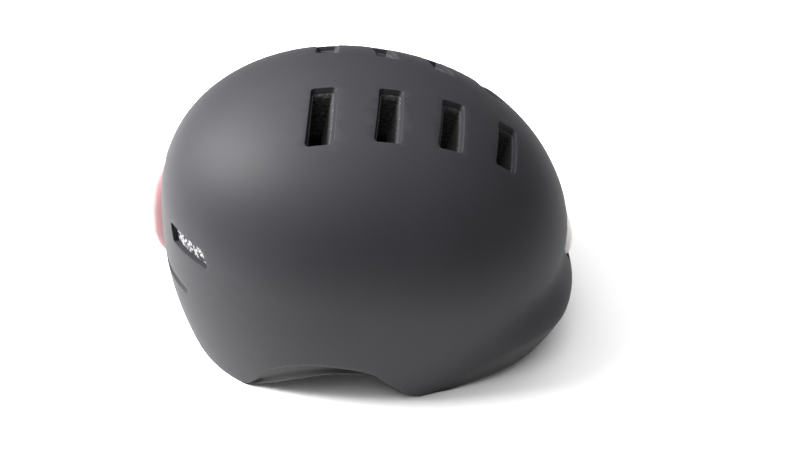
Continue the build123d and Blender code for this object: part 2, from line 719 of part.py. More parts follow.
with BuildPart() as cradle_cover:
    add(cradle_plate(COVER_INNER, COVER_OUTER, -RAIL_OUTER, RAIL_OUTER))
    add(radial_rod(180, CRADLE_Z, SHAFT_RADIUS + RUNNING_GAP, 60, 100), mode=Mode.SUBTRACT)
    for angle, z in CRADLE_SCREWS:
        add(radial_rod(angle, z, SCREW_RADIUS + SCREW_GAP, 60, 100), mode=Mode.SUBTRACT)
save(cradle_cover.part, "cradle_cover")

with BuildPart() as cradle_screws:
    for angle, z in CRADLE_SCREWS:
        add(radial_rod(angle, z, SCREW_HEAD, COVER_INNER - 1.2, COVER_INNER - 0.1))
        add(radial_rod(angle, z, SCREW_RADIUS, COVER_INNER - 0.1, PLATE_OUTER - 1.2))
save(cradle_screws.part, "cradle_screws")

with BuildPart() as nape_pad:
    add(sector(COVER_INNER - 3.2, COVER_INNER - 0.3, 180 - 17, 180 + 17, CRADLE_Z - 9, CRADLE_Z + 9))
save(nape_pad.part, "nape_pad")

# the dial, its shaft and its pinion turn about an axis along X
DIAL_AXIS = Plane(origin=(0, 0, CRADLE_Z), x_dir=(0, 1, 0), z_dir=(1, 0, 0))
SHAFT_END = ARC_X - COVER_INNER - 0.4
with BuildPart() as dial_knob:
    with BuildSketch(DIAL_AXIS.offset(DIAL_FRONT_X - DIAL_THICKNESS)):
        Circle(DIAL_RADIUS)
        with PolarLocations(DIAL_RADIUS + 0.7, 16):
            Circle(1.5, mode=Mode.SUBTRACT)
    extrude(amount=DIAL_THICKNESS)
    add(rod(DIAL_AXIS, 0, 0, SHAFT_RADIUS, DIAL_FRONT_X, SHAFT_END))
save(dial_knob.part, "dial_knob")

with BuildPart() as detent_ring:
    with BuildSketch(DIAL_AXIS.offset(DIAL_FRONT_X + 0.15)):
        Circle(9)
        Circle(6.5, mode=Mode.SUBTRACT)
    extrude(amount=0.45)
save(detent_ring.part, "detent_ring")

with BuildPart() as drive_pinion:
    with BuildSketch(DIAL_AXIS.offset(ARC_X - ARM_OUTER + 0.1)):
        Circle(PINION_RADIUS - TOOTH_HEIGHT / 2 - 0.2)
        with PolarLocations(0, PINION_TEETH):
            with Locations((PINION_RADIUS - 0.4, 0)):
                Rectangle(TOOTH_HEIGHT + 0.6, TOOTH_WIDTH)
        Circle(SHAFT_RADIUS + RUNNING_GAP / 2, mode=Mode.SUBTRACT)
    extrude(amount=ARM_THICKNESS - 0.2)
save(drive_pinion.part, "drive_pinion")

for side, name in ((1, "left"), (-1, "right")):
    reach = sorted((side * 81.4, side * 84.2))
    temple_axis = Plane(origin=(PIN_X, 0, PIN_Z), x_dir=(1, 0, 0), z_dir=(0, side, 0))
    with BuildPart() as temple_pin:
        add(box((PIN_X - 9, PIN_X + 9), reach, (PIN_Z - 5, PIN_Z + 9)))
        add(rod(temple_axis, 0, 0, PIN_RADIUS, 72, 82))
        add(rod(temple_axis, 0, 0, PIN_RADIUS + 1.6, 71.2, 72.8))
    save(temple_pin.part, f"temple_pin_{name}")


# ------------------------------------------------------------------ straps and buckle
def divider_block(side, grow, thickness):
    """Strap divider lying on the floor inside the helmet."""
    with BuildPart(mode=Mode.PRIVATE) as block:
        with BuildSketch(Plane.XY.offset(STRAP_Z - (grow and 1))):
            with Locations((DIVIDER_X, side * DIVIDER_Y)):
                RectangleRounded(DIVIDER_LENGTH + 2 * grow, DIVIDER_WIDTH + 2 * grow, 4)
        extrude(amount=thickness + 2 * (grow and 1))
    return block.part


def flat_web(start, end, side):
    """Flat webbing from an anchor to the divider."""
    run = Vector(*end) - Vector(*start)
    middle = (Vector(*start) + Vector(*end)) / 2
    plane = Plane(origin=(middle.X, middle.Y, STRAP_Z), x_dir=(run.X, run.Y, 0), z_dir=(0, 0, 1))
    with BuildPart(mode=Mode.PRIVATE) as web:
        with BuildSketch(plane):
            Rectangle(run.length, WEB_WIDTH)
        extrude(amount=WEB_THICKNESS)
        add(divider_block(side, 0.2, DIVIDER_THICKNESS), mode=Mode.SUBTRACT)
    return web.part


for side, hand in ((1, "left"), (-1, "right")):
    with BuildPart() as divider:
        add(divider_block(side, 0, DIVIDER_THICKNESS))
        with BuildSketch(Plane.XY):
            with Locations((DIVIDER_X, side * DIVIDER_Y)):
                with Locations((-7, 0), (7, 0)):
                    RectangleRounded(3, 14, 1.2)
        extrude(amount=DIVIDER_THICKNESS * 2, mode=Mode.SUBTRACT)
    save(divider.part, f"strap_divider_{hand}")
    for place, (x, y) in ANCHORS.items():
        web = flat_web((x, side * y), (DIVIDER_X, side * DIVIDER_Y), side)
        save(web, f"strap_{place}_{hand}")
    with BuildPart() as chin_strap:
        with BuildSketch(Plane.XY.offset(STRAP_Z)):
            with BuildLine():
                first, sweep = side * 22.5, side * 51.0
                inner_arc = CenterArc((CHIN_ARC_X, 0), CHIN_ARC_RADIUS - WEB_THICKNESS / 2,
                                      first, sweep)
                outer_arc = CenterArc((CHIN_ARC_X, 0), CHIN_ARC_RADIUS + WEB_THICKNESS / 2,
                                      first, sweep)
                Line(inner_arc @ 0, outer_arc @ 0)
                Line(inner_arc @ 1, outer_arc @ 1)
            make_face()
        extrude(amount=WEB_WIDTH)
    save(chin_strap.part, f"chin_strap_{hand}")

BUCKLE_SPLIT = 4.0
TONGUE_GAP = 0.3
buckle_x = (BUCKLE_X - BUCKLE_DEPTH / 2, BUCKLE_X + BUCKLE_DEPTH / 2)
buckle_z = (STRAP_Z, STRAP_Z + BUCKLE_HEIGHT)
tongue_x = (BUCKLE_X - TONGUE_THICKNESS / 2, BUCKLE_X + TONGUE_THICKNESS / 2)
tongue_z = (STRAP_Z + 3.6, STRAP_Z + BUCKLE_HEIGHT - 3.6)


def grown(span, gap):
    """A span made longer at both ends."""
    return (span[0] - gap, span[1] + gap)


with BuildPart() as buckle_socket:
    add(box(buckle_x, (-22, BUCKLE_SPLIT), buckle_z))
    fillet(buckle_socket.edges().filter_by(Axis.Y), 2.5)
    add(box(grown(tongue_x, TONGUE_GAP), (-14, BUCKLE_SPLIT + 1), grown(tongue_z, TONGUE_GAP)),
        mode=Mode.SUBTRACT)
save(buckle_socket.part, "buckle_socket")

with BuildPart() as buckle_tongue:
    add(box(buckle_x, (BUCKLE_SPLIT + TONGUE_GAP, 19.5), buckle_z))
    fillet(buckle_tongue.edges().filter_by(Axis.Y), 2.5)
    add(box(tongue_x, (-12, BUCKLE_SPLIT + 2), tongue_z))
save(buckle_tongue.part, "buckle_tongue")

with BuildPart() as chin_pad:
    add(box((BUCKLE_X - 8.5, BUCKLE_X - 4.6), (-19.5, 3), (STRAP_Z + 1, STRAP_Z + 19)))
    fillet(chin_pad.edges().filter_by(Axis.Y), 1.6)
save(chin_pad.part, "chin_pad")
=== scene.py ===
"""Looks of the cycling helmet: shell, wrap, foam, lamp lenses, pads, straps, light and camera.

Lengths in the shape functions are millimetres and are turned to metres when a mesh is made.
"""
import json
import math
import bmesh
import bpy
import numpy as np
from mathutils import Matrix, Vector
from mathutils.geometry import delaunay_2d_cdt


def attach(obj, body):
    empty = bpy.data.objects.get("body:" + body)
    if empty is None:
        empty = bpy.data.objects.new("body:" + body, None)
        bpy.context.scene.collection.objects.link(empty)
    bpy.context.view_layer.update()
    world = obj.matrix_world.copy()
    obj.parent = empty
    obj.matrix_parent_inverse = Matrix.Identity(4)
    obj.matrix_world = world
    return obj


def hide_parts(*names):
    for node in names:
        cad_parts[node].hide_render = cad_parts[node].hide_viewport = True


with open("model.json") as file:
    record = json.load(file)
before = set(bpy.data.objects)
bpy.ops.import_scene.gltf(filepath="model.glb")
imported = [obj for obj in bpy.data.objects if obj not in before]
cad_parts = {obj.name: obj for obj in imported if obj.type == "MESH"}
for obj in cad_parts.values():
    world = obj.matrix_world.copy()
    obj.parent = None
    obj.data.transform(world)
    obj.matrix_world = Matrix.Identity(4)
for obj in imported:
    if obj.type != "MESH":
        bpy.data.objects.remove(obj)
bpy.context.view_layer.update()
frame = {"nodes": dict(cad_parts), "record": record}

MM = 0.001

# ---------------------------------------------------------------- outer surface of the helmet
FRONT, REAR, SIDE, RISE = 130.1, 135.8, 112.8, 91.1
WAIST = 81.0
CENTRE = 3.84
PIVOT = -2.25
TILT = math.radians(11.58)
PLAN_POWER, FRONT_POWER, SIDE_POWER = 2.16, 2.02, 2.17
TUCK_FRONT, TUCK_SIDE, TUCK_REAR, TUCK_REAR_POWER = 0.063, 0.044, 0.082, 2.37
BRIM_REACH, BRIM_CREASE, BRIM_RISE = 17.6, 33.0, 31.0
CROWN_LENGTH = 180.0


def step(u):
    """Smooth step: three u squared minus two u cubed, held between 0 and 1."""
    u = np.clip(u, 0, 1)
    return u * u * (3 - 2 * u)


def skin(phi, v, inset=0.0, brim=True):
    """Point of the surface at heading phi and level v: 1 is the crown, 0 the waist, below 0 the
    skirt.  Above the waist both plan and side are super-ellipses; below it the plan shrinks with a
    power of the depth.  The brim adds a radial swell that fades with heading and height.  The whole
    is turned nose down about the pivot."""
    phi, v = np.broadcast_arrays(np.asarray(phi, float), np.asarray(v, float))
    c, s = np.cos(phi), np.sin(phi)
    front = c > 0
    plan_x = np.sign(c) * np.abs(c) ** (2 / PLAN_POWER)
    plan_y = np.sign(s) * np.abs(s) ** (2 / PLAN_POWER)
    reach = np.where(front, FRONT, REAR) - inset
    psi = np.clip(v, 0, 1) * math.pi / 2
    bend = 2 / (FRONT_POWER + (SIDE_POWER - FRONT_POWER) * s ** 2)
    low = np.clip(-v, 0, 2)
    tuck = np.where(front, TUCK_FRONT, TUCK_REAR) * c ** 2 + TUCK_SIDE * s ** 2
    tuck_power = np.where(front, 2.0, 2.0 + (TUCK_REAR_POWER - 2.0) * c ** 2)
    scale = np.where(v < 0, 1 - tuck * low ** tuck_power, np.abs(np.cos(psi)) ** bend)
    height = np.where(v < 0, -WAIST * low, (RISE - inset) * np.abs(np.sin(psi)) ** bend)
    x = CENTRE + reach * plan_x * scale
    y = (SIDE - inset) * plan_y * scale
    world_x = PIVOT + x * math.cos(TILT) + height * math.sin(TILT)
    z = WAIST + height * math.cos(TILT) - x * math.sin(TILT)
    if brim:
        turn = np.degrees(np.abs(np.arctan2(s, c)))
        side = 1 - step((turn - 27) / 45)
        crease = BRIM_CREASE - 24 * step((turn - 40) / 30)
        swell = BRIM_REACH * side * step((crease + BRIM_RISE - z) / BRIM_RISE)
        world_x = world_x + swell * c
        y = y + swell * s
    return np.stack([world_x, y, z], -1)


def solve(start, goal, inset=0.0, brim=True, rounds=14):
    """Headings and levels where the two numbers of goal(points) vanish: Newton steps with the
    slopes taken by small differences, from a starting pair for each point."""
    uv = np.array(start, float)
    h = 1e-4
    for _ in range(rounds):
        here = goal(skin(uv[:, 0], uv[:, 1], inset, brim))
        du = (goal(skin(uv[:, 0] + h, uv[:, 1], inset, brim)) - here) / h
        dv = (goal(skin(uv[:, 0], uv[:, 1] + h, inset, brim)) - here) / h
        det = du[:, 0] * dv[:, 1] - du[:, 1] * dv[:, 0]
        det = np.where(np.abs(det) < 1e-9, 1e-9, det)
        a = (here[:, 0] * dv[:, 1] - here[:, 1] * dv[:, 0]) / det
        b = (du[:, 0] * here[:, 1] - du[:, 1] * here[:, 0]) / det
        uv[:, 0] -= np.clip(a, -0.3, 0.3)
        uv[:, 1] -= np.clip(b, -0.3, 0.3)
    return uv


def project(points, direction, start, inset=0.0, brim=True):
    """Where lines through the points along a direction meet the surface, as headings and levels."""
    d = np.array(direction, float)
    d /= np.linalg.norm(d)
    a = np.cross(d, [0, 1, 0] if abs(d[1]) < 0.9 else [1, 0, 0])
    a /= np.linalg.norm(a)
    b = np.cross(d, a)
    points = np.asarray(points, float)
    start = np.tile(np.array(start, float), (len(points), 1))
    return solve(start, lambda p: np.stack([(p - points) @ a, (p - points) @ b], -1), inset, brim)


def normal(uv, inset=0.0):
    """Outward unit normal, from the cross product of two small steps."""
    h = 1e-3
    du = skin(uv[:, 0] + h, uv[:, 1], inset) - skin(uv[:, 0] - h, uv[:, 1], inset)
    dv = skin(uv[:, 0], uv[:, 1] + h, inset) - skin(uv[:, 0], uv[:, 1] - h, inset)
    n = np.cross(du, dv)
    return n / np.maximum(np.linalg.norm(n, axis=-1, keepdims=True), 1e-9)


# ---------------------------------------------------------------- edges seen from the side
def curve(points, x):
    """Smooth side-view line through a few points: Hermite cubics with damped slopes."""
    px, pz = np.array(points, float).T
    slope = np.diff(pz) / np.diff(px)
    tangent = np.zeros_like(px)
    same = slope[1:] * slope[:-1] > 0
    tangent[1:-1] = np.where(same, 2 * slope[1:] * slope[:-1] / (slope[1:] + slope[:-1] + 1e-12), 0)
    tangent[0], tangent[-1] = slope[0], slope[-1]
    k = np.clip(np.searchsorted(px, x) - 1, 0, len(px) - 2)
    w = px[k + 1] - px[k]
    t = np.clip((x - px[k]) / w, 0, 1)
    return ((2 * t ** 3 - 3 * t ** 2 + 1) * pz[k] + (t ** 3 - 2 * t ** 2 + t) * w * tangent[k]
            + (3 * t ** 2 - 2 * t ** 3) * pz[k + 1] + (t ** 3 - t ** 2) * w * tangent[k + 1])


SHELL_EDGE = [(-170, 9), (-124, 7), (-108, 1.6), (-86, 1.4), (-82.5, 2.5), (-75, 11.5), (-64, 27),
              (-51, 36.2), (-34, 40.5), (-18, 38.6), (-4, 33.5), (4.5, 24), (13, 13.5), (22, 4),
              (29, 1.6), (36, 3.4), (45.5, 8.4), (63.5, 20.6), (76, 27.2), (90, 31.8), (104, 33.4),
              (118, 33.6), (160, 37)]
WRAP_EDGE = [(-170, 7), (-124, 5.5), (-108, 0.3), (-84, 0.2), (-78, 3), (-64, 12.5), (-46, 23.5),
             (-26, 31), (-8, 32.5), (-1, 30), (5, 22.5), (13, 12), (24, 2), (29, 0.2), (44, 0.2),
             (56, 3.4), (70, 6.4), (89, 9.6), (100, 14.5), (107, 20.5), (121, 28.8), (160, 34.5)]


def edge_level(phi, line, inset=0.0, lift=0.0, brim=True):
    """Level at which the surface meets a side-view line, for each heading, by halving."""
    low, high = np.full_like(phi, -1.9), np.full_like(phi, 0.6)
    for _ in range(40):
        mid = (low + high) / 2
        p = skin(phi, mid, inset, brim)
        above = p[..., 2] > curve(line, p[..., 0]) + lift
        high = np.where(above, mid, high)
        low = np.where(above, low, mid)
    return (low + high) / 2


# ---------------------------------------------------------------- meshes
def make(name, points, faces, slot):
    """Smooth mesh object from points in millimetres, riding on the helmet, in its slot's finish."""
    mesh = bpy.data.meshes.new(name)
    mesh.from_pydata((np.asarray(points, float) * MM).tolist(), [], [list(f) for f in faces])
    mesh.update()
    piece = bpy.data.objects.new(name, mesh)
    bpy.context.scene.collection.objects.link(piece)
    mesh.polygons.foreach_set("use_smooth", [True] * len(mesh.polygons))
    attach(piece, "helmet")
    mesh.materials.append(FINISH[slot])
    return piece


def weld(piece, distance):
    """Merge doubled points within a distance in millimetres and turn the faces outwards."""
    bm = bmesh.new()
    bm.from_mesh(piece.data)
    bmesh.ops.remove_doubles(bm, verts=bm.verts, dist=distance * MM)
    bmesh.ops.dissolve_degenerate(bm, edges=bm.edges, dist=1e-7)
    bmesh.ops.recalc_face_normals(bm, faces=bm.faces)
    bm.to_mesh(piece.data)
    bm.free()
    return piece


def grid_faces(rows, columns, closed=False, first=0):
    """Quads of a grid of points; closed joins the last column to the first."""
    r, c = np.meshgrid(np.arange(rows - 1), np.arange(columns if closed else columns - 1),
                       indexing="ij")
    n = (c + 1) % columns
    quads = np.stack([r * columns + c, r * columns + n, (r + 1) * columns + n,
                      (r + 1) * columns + c], -1)
    return (quads.reshape(-1, 4) + first).tolist()


def join_parts(parts):
    """One point list and face list from several."""
    points, faces, count = [], [], 0
    for p, f in parts:
        p = np.asarray(p, float).reshape(-1, 3)
        points.append(p)
        faces += [[i + count for i in face] for face in f]
        count += len(p)
    return np.concatenate(points), faces


def ring_wall(loops):
    """Strip of quads through loops of equal length, closed along each loop."""
    rings = np.array(loops)
    return rings.reshape(-1, 3), grid_faces(len(rings), rings.shape[1], closed=True)


# ---------------------------------------------------------------- panels with openings
def flat(uv):
    """Flat map of the surface: distance from the crown along the skin, at the same heading."""
    r = np.where(uv[:, 1] >= 0, CROWN_LENGTH * (1 - uv[:, 1]), CROWN_LENGTH - WAIST * uv[:, 1])
    return np.stack([r * np.cos(uv[:, 0]), r * np.sin(uv[:, 0])], -1)


def unflat(xy):
    """Heading and level from the flat map."""
    r = np.hypot(xy[:, 0], xy[:, 1])
    v = np.where(r <= CROWN_LENGTH, 1 - r / CROWN_LENGTH, (CROWN_LENGTH - r) / WAIST)
    return np.stack([np.arctan2(xy[:, 1], xy[:, 0]), v], -1)


def inside(points, loop):
    """Which points lie in a closed loop: crossings of a ray, counted for all at once."""
    x, y = points[:, :1], points[:, 1:]
    a, b = loop, np.roll(loop, -1, 0)
    crosses = (a[:, 1] > y) != (b[:, 1] > y)
    at = a[:, 0] + (y - a[:, 1]) * (b[:, 0] - a[:, 0]) / np.where(b[:, 1] == a[:, 1], 1e-9,
                                                                   b[:, 1] - a[:, 1])
    return (crosses & (x < at)).sum(1) % 2 == 1


def panel(edge, holes, spacing=3.6, columns=240):
    """Triangles of the surface above an edge line, leaving out the holes: rows of points between
    crown and edge, joined with the loops by a constrained triangulation of the flat map."""
    phi = np.linspace(-math.pi, math.pi, 2 * columns, endpoint=False)
    border = flat(np.stack([phi, edge(phi)], -1))
    rows = [np.zeros((1, 2))]
    steps = int(300 / spacing)
    for k in range(1, steps):
        share = k / steps
        count = max(10, int(columns * min(1.0, share * 1.9)))
        angle = -math.pi + 2 * math.pi * (np.arange(count) + 0.5 * (k % 2)) / count
        level = 1 - (1 - edge(angle)) * share
        rows.append(flat(np.stack([angle, level], -1)))
    points = np.concatenate(rows)
    loops = [flat(h) for h in holes]
    keep = np.ones(len(points), bool)
    for loop in loops + [border]:
        near = np.full(len(points), 1e9)
        for part in np.array_split(loop, max(1, len(loop) // 60)):
            near = np.minimum(near, np.linalg.norm(points[:, None] - part[None], axis=2).min(1))
        keep &= near > 1.2
    for loop in loops:
        keep &= ~inside(points, loop)
    points = points[keep]
    everything, edges, count = [points], [], len(points)
    for loop in loops + [border]:
        n = np.arange(len(loop))
        edges += np.stack([count + n, count + (n + 1) % len(loop)], -1).tolist()
        everything.append(loop)
        count += len(loop)
    everything = np.concatenate(everything)
    made = delaunay_2d_cdt([Vector(p) for p in everything.tolist()], edges, [], 0, 1e-5)
    verts = np.array([tuple(v) for v in made[0]])
    tris = np.array([t for t in made[2] if len(t) == 3])
    middle = verts[tris].mean(1)
    good = inside(middle, border)
    for loop in loops:
        good &= ~inside(middle, loop)
    return unflat(verts), tris[good]


def rounded(corners, radius, inset=0.0, per_corner=7, per_side=9):
    """Closed outline with rounded corners, moved inwards by a distance.  Each corner is a fan of
    points on an arc between the two moved sides, and each side is divided evenly."""
    corners = np.array(corners, float)
    n = len(corners)
    area = 0.5 * np.sum(corners[:, 0] * np.roll(corners[:, 1], -1)
                        - np.roll(corners[:, 0], -1) * corners[:, 1])
    if area < 0:
        corners = corners[::-1]
    r = max(radius - inset, 0.15)
    arcs = []
    for i in range(n):
        p, a, b = corners[i], corners[i - 1], corners[(i + 1) % n]
        e1, e2 = (a - p) / np.linalg.norm(a - p), (b - p) / np.linalg.norm(b - p)
        half = math.acos(np.clip(e1 @ e2, -1, 1)) / 2
        bisector = (e1 + e2) / np.linalg.norm(e1 + e2)
        centre = p + bisector * (inset + r) / math.sin(half)
        n1 = np.array([-e1[1], e1[0]])
        n1 = n1 if n1 @ bisector < 0 else -n1
        n2 = np.array([-e2[1], e2[0]])
        n2 = n2 if n2 @ bisector < 0 else -n2
        t = np.linspace(0, 1, per_corner)[:, None]
        spin = math.acos(np.clip(n1 @ n2, -1, 1))
        fan = (np.sin((1 - t) * spin) * n1 + np.sin(t * spin) * n2) / max(math.sin(spin), 1e-6)
        arcs.append(centre + r * fan)
    outline = []
    for i in range(n):
        outline.append(arcs[i])
        start, end = arcs[i][-1], arcs[(i + 1) % n][0]
        t = np.linspace(0, 1, per_side + 2)[1:-1, None]
        outline.append(start * (1 - t) + end * t)
    return np.concatenate(outline)


class Opening:
    """An outline drawn in a plane and sunk along the plane's normal into the surface."""

    def __init__(self, origin, across, out, corners, radius, start):
        self.origin = np.array(origin, float)
        self.across = np.array(across, float) / np.linalg.norm(across)
        self.out = np.array(out, float) / np.linalg.norm(out)
        self.up = np.cross(self.out, self.across)
        self.corners, self.radius, self.start = corners, radius, start

    def outline(self, inset=0.0):
        flat_outline = rounded(self.corners, self.radius, inset)
        return self.origin + flat_outline[:, :1] * self.across + flat_outline[:, 1:] * self.up

    def loop(self, inset=0.0, depth=0.0, brim=True):
        """Headings and levels of the outline on the surface."""
        return project(self.outline(inset), self.out, self.start, depth, brim)

    def wall(self, stations):
        """Wall that starts on the skin: each station is a pair of inset and depth."""
        rings = []
        for inset, depth in stations:
            uv = self.loop(inset)
            rings.append(skin(uv[:, 0], uv[:, 1]) - depth * self.out)
        return ring_wall(rings)


AXIS = np.array([math.sin(TILT), 0, math.cos(TILT)])
ALONG = np.array([math.cos(TILT), 0, -math.sin(TILT)])
PIVOT_POINT = np.array([PIVOT, 0, WAIST])
LIP = [(0, 0), (0.06, 0.02), (0.16, 0.07), (0.25, 0.16), (0.31, 0.3), (0.36, 0.5)]
VENT_DEPTH = 5.6
VENT_WALL = LIP + [(1.1, 2.2), (1.5, 3.9), (1.9, VENT_DEPTH), (2.1, VENT_DEPTH + 0.15),
                   (1.9, VENT_DEPTH + 0.7)]


def vent_openings():
    """Eight vents, mirrored in two rows; each row runs back to front and closes in a little."""
    found = []
    for side in (-1, 1):
        for k in range(4):
            x0, x1 = -44.8 + 36.9 * k, -44.0 + 34.3 * k
            y0, y1 = 24.0 - 2.05 * k, 64.3 - 2.85 * k
            half0, half1 = 7.1, 7.4
            corners = [(x0 - half0, side * y0), (x0 + half0, side * (y0 - 0.9)),
                       (x1 + half1, side * (y1 - 0.3)), (x1 - half1, side * (y1 + 0.3))]
            middle = PIVOT_POINT + ALONG * (x0 + x1) / 2
            heading = math.atan2(side * (y0 + y1) / 2, (x0 + x1) / 2 - CENTRE)
            found.append(Opening(PIVOT_POINT, ALONG, AXIS, corners, 2.6, (heading, 0.6)))
    return found


# ---------------------------------------------------------------- node materials
class Value:
    """A number in a node tree.  Arithmetic on it adds Math nodes."""

    def __init__(self, tree, socket):
        self.tree, self.socket = tree, socket

    def node(self, kind, inputs=None, out=0, **settings):
        made = self.tree.nodes.new(kind)
        for key, value in settings.items():
            setattr(made, key, value)
        for key, value in (inputs or {}).items():
            if isinstance(value, Value):
                self.tree.links.new(value.socket, made.inputs[key])
            else:
                made.inputs[key].default_value = value
        return Value(self.tree, made.outputs[out])

    def math(self, operation, first, second=0.0, clamp=False):
        return self.node("ShaderNodeMath", {0: first, 1: second}, operation=operation,
                         use_clamp=clamp)

    def __add__(self, other):
        return self.math("ADD", self, other)

    def __radd__(self, other):
        return self.math("ADD", other, self)

    def __sub__(self, other):
        return self.math("SUBTRACT", self, other)

    def __rsub__(self, other):
        return self.math("SUBTRACT", other, self)

    def __mul__(self, other):
        return self.math("MULTIPLY", self, other)

    def __rmul__(self, other):
        return self.math("MULTIPLY", other, self)

    def __truediv__(self, other):
        return self.math("DIVIDE", self, other)

    def __rtruediv__(self, other):
        return self.math("DIVIDE", other, self)

    def __pow__(self, other):
        return self.math("POWER", self, other)

    def __rpow__(self, other):
        return self.math("POWER", other, self)

    def __neg__(self):
        return self.math("SUBTRACT", 0.0, self)

    def __gt__(self, other):
        return self.math("GREATER_THAN", self, other)

    def noise(self, scale, detail=2.0, rough=0.5):
        return self.node("ShaderNodeTexNoise", {"Vector": self, "Scale": scale, "Detail": detail,
                                                "Roughness": rough})

    def cells(self, scale, feature="F1"):
        return self.node("ShaderNodeTexVoronoi", {"Vector": self, "Scale": scale}, feature=feature)

    def cell_shade(self, scale):
        colour = self.node("ShaderNodeTexVoronoi", {"Vector": self, "Scale": scale}, out=1)
        return colour.node("ShaderNodeSeparateColor", {0: colour})

    def between(self, low, high):
        """Smooth step from 0 at low to 1 at high."""
        return self.node("ShaderNodeMapRange", {"Value": self, "From Min": low, "From Max": high},
                         interpolation_type="SMOOTHSTEP")

    def mix(self, a, b):
        """Colour a where the value is 0, b where it is 1."""
        made = self.tree.nodes.new("ShaderNodeMix")
        made.data_type = "RGBA"
        self.tree.links.new(self.socket, made.inputs[0])
        for index, colour in ((6, a), (7, b)):
            if isinstance(colour, Value):
                self.tree.links.new(colour.socket, made.inputs[index])
            else:
                made.inputs[index].default_value = (*colour, 1)
        return Value(self.tree, made.outputs[2])


def surface(name, build, **fixed):
    """Material from a build function: it gets the piece's own coordinates and returns values for
    sockets, with Height and Distance going to a bump."""
    material = bpy.data.materials.new(name)
    material.use_nodes = True
    tree = material.node_tree
    shader = tree.nodes["Principled BSDF"]
    place = Value(tree, tree.nodes.new("ShaderNodeTexCoord").outputs["Object"])
    values = build(place)
    height, distance = values.pop("Height", None), values.pop("Distance", 0.0002)
    if height is not None:
        values["Normal"] = place.node("ShaderNodeBump", {"Height": height, "Distance": distance,
                                                         "Strength": 1.0})
    for key, value in {**fixed, **values}.items():
        if isinstance(value, Value):
            tree.links.new(value.socket, shader.inputs[key])
        else:
            shader.inputs[key].default_value = (*value, 1) if isinstance(value, tuple) else value
    return material


def abs_look(dark, light, grain):
    """Moulded plastic: slow mottling in tone, fine grain in height and gloss."""
    def build(place):
        slow, fine = place.noise(9.0, 3.0), place.noise(grain, 3.0, 0.6)
        tone = (slow * 0.7 + fine * 0.3).between(0.3, 0.7)
        return {"Base Color": tone.mix(dark, light), "Roughness": 0.5 + 0.14 * fine,
                "Height": fine, "Distance": 0.00007}
    return build


def foam_look(dark, light, bead_glint_colour, amount):
    """Moulded beads: cells with sunk joints, and a share of the beads lighter towards their
    middles, painted highlights on the bead skins, with more and near-white ones behind the rear
    slots.
    """
    def build(place):
        bead, shade = place.cells(620.0), place.cell_shade(620.0)
        joint = (1.0 - bead).between(0.2, 0.62)
        parts = [place.node("ShaderNodeSeparateXYZ", {0: place}, out=k) for k in range(3)]
        aside = parts[1].math("ABSOLUTE", parts[1])
        # painted highlight: mask for the foam seen through the rear slots, where more beads turn
        # pale and near white
        rear_slot_glint = (-1.0 * parts[0] + 0.7 * aside).between(0.135, 0.14) * parts[2].between(0.05, 0.055)
        # the beads that carry a painted highlight, brightest at each bead's middle; more of them
        # behind the rear slots
        pale = shade > (1.0 - amount) - 0.45 * rear_slot_glint
        tone = joint.mix(dark, light)
        # colour of the painted bead highlights: faint elsewhere, near white behind the rear slots
        bright = rear_slot_glint.mix(bead_glint_colour, (0.42, 0.42, 0.43))
        return {"Base Color": (pale * (1.0 - 0.8 * bead)).mix(tone, bright), "Roughness": 0.85,
                "Height": 1.0 - bead, "Distance": 0.0004}
    return build


def cloth_look(dark, light, pitch):
    """Knit: two crossed sines make the loops, noise the fuzz."""
    def build(place):
        parts = [place.node("ShaderNodeSeparateXYZ", {0: place}, out=k) for k in range(3)]
        along = (parts[0] + parts[1] * 0.6) * pitch
        up = (parts[2] + parts[1] * 0.5) * pitch
        loops = along.math("SINE", along) * up.math("SINE", up)
        fuzz = place.noise(1400.0, 2.0)
        height = loops * 0.5 + fuzz * 0.6
        return {"Base Color": height.between(0.0, 0.8).mix(dark, light), "Roughness": 0.95,
                "Height": height, "Distance": 0.0003}
    return build


def web_look(dark, light, pitch):
    """Woven tape: diagonal ribs that change sides every few millimetres."""
    def build(place):
        parts = [place.node("ShaderNodeSeparateXYZ", {0: place}, out=k) for k in range(3)]
        left = (parts[0] + parts[1]) * pitch
        right = (parts[0] - parts[1]) * pitch
        weave = left.math("SINE", left) * right.math("SINE", right)
        return {"Base Color": weave.between(-0.6, 0.7).mix(dark, light),
                "Roughness": 0.7 + 0.15 * place.noise(900.0), "Height": weave, "Distance": 0.0003}
    return build


def plain_look(dark, light, scale, rough, height=0.00003):
    """Near-even finish: noise moves the tone and the gloss a little."""
    def build(place):
        fine = place.noise(scale, 2.0)
        return {"Base Color": fine.between(0.3, 0.7).mix(dark, light),
                "Roughness": rough + 0.12 * (fine - 0.5), "Height": fine, "Distance": height}
    return build


def lens_look(deep, pale):
    """Tinted clear plastic, paler near the top edge where a painted highlight lies, with fine
    vertical lines inside.
    """
    def build(place):
        parts = [place.node("ShaderNodeSeparateXYZ", {0: place}, out=k) for k in range(3)]
        lines = (parts[1] * 2200.0).math("SINE", parts[1] * 2200.0)
        haze = place.noise(60.0, 2.0)
        # painted highlight: the lens colour turns from the deep tint to the pale one towards the
        # top
        return {"Base Color": parts[2].between(0.084, 0.12).mix(deep, pale),
                "Roughness": 0.14 + 0.1 * haze, "Height": lines, "Distance": 0.00003}
    return build


def led_look(place):
    """Emitter: bright in the middle of each cell."""
    spot = place.noise(300.0, 1.0)
    return {"Base Color": spot.mix((0.9, 0.85, 0.7), (1, 0.95, 0.85)),
            "Roughness": 0.3 + 0.1 * spot}


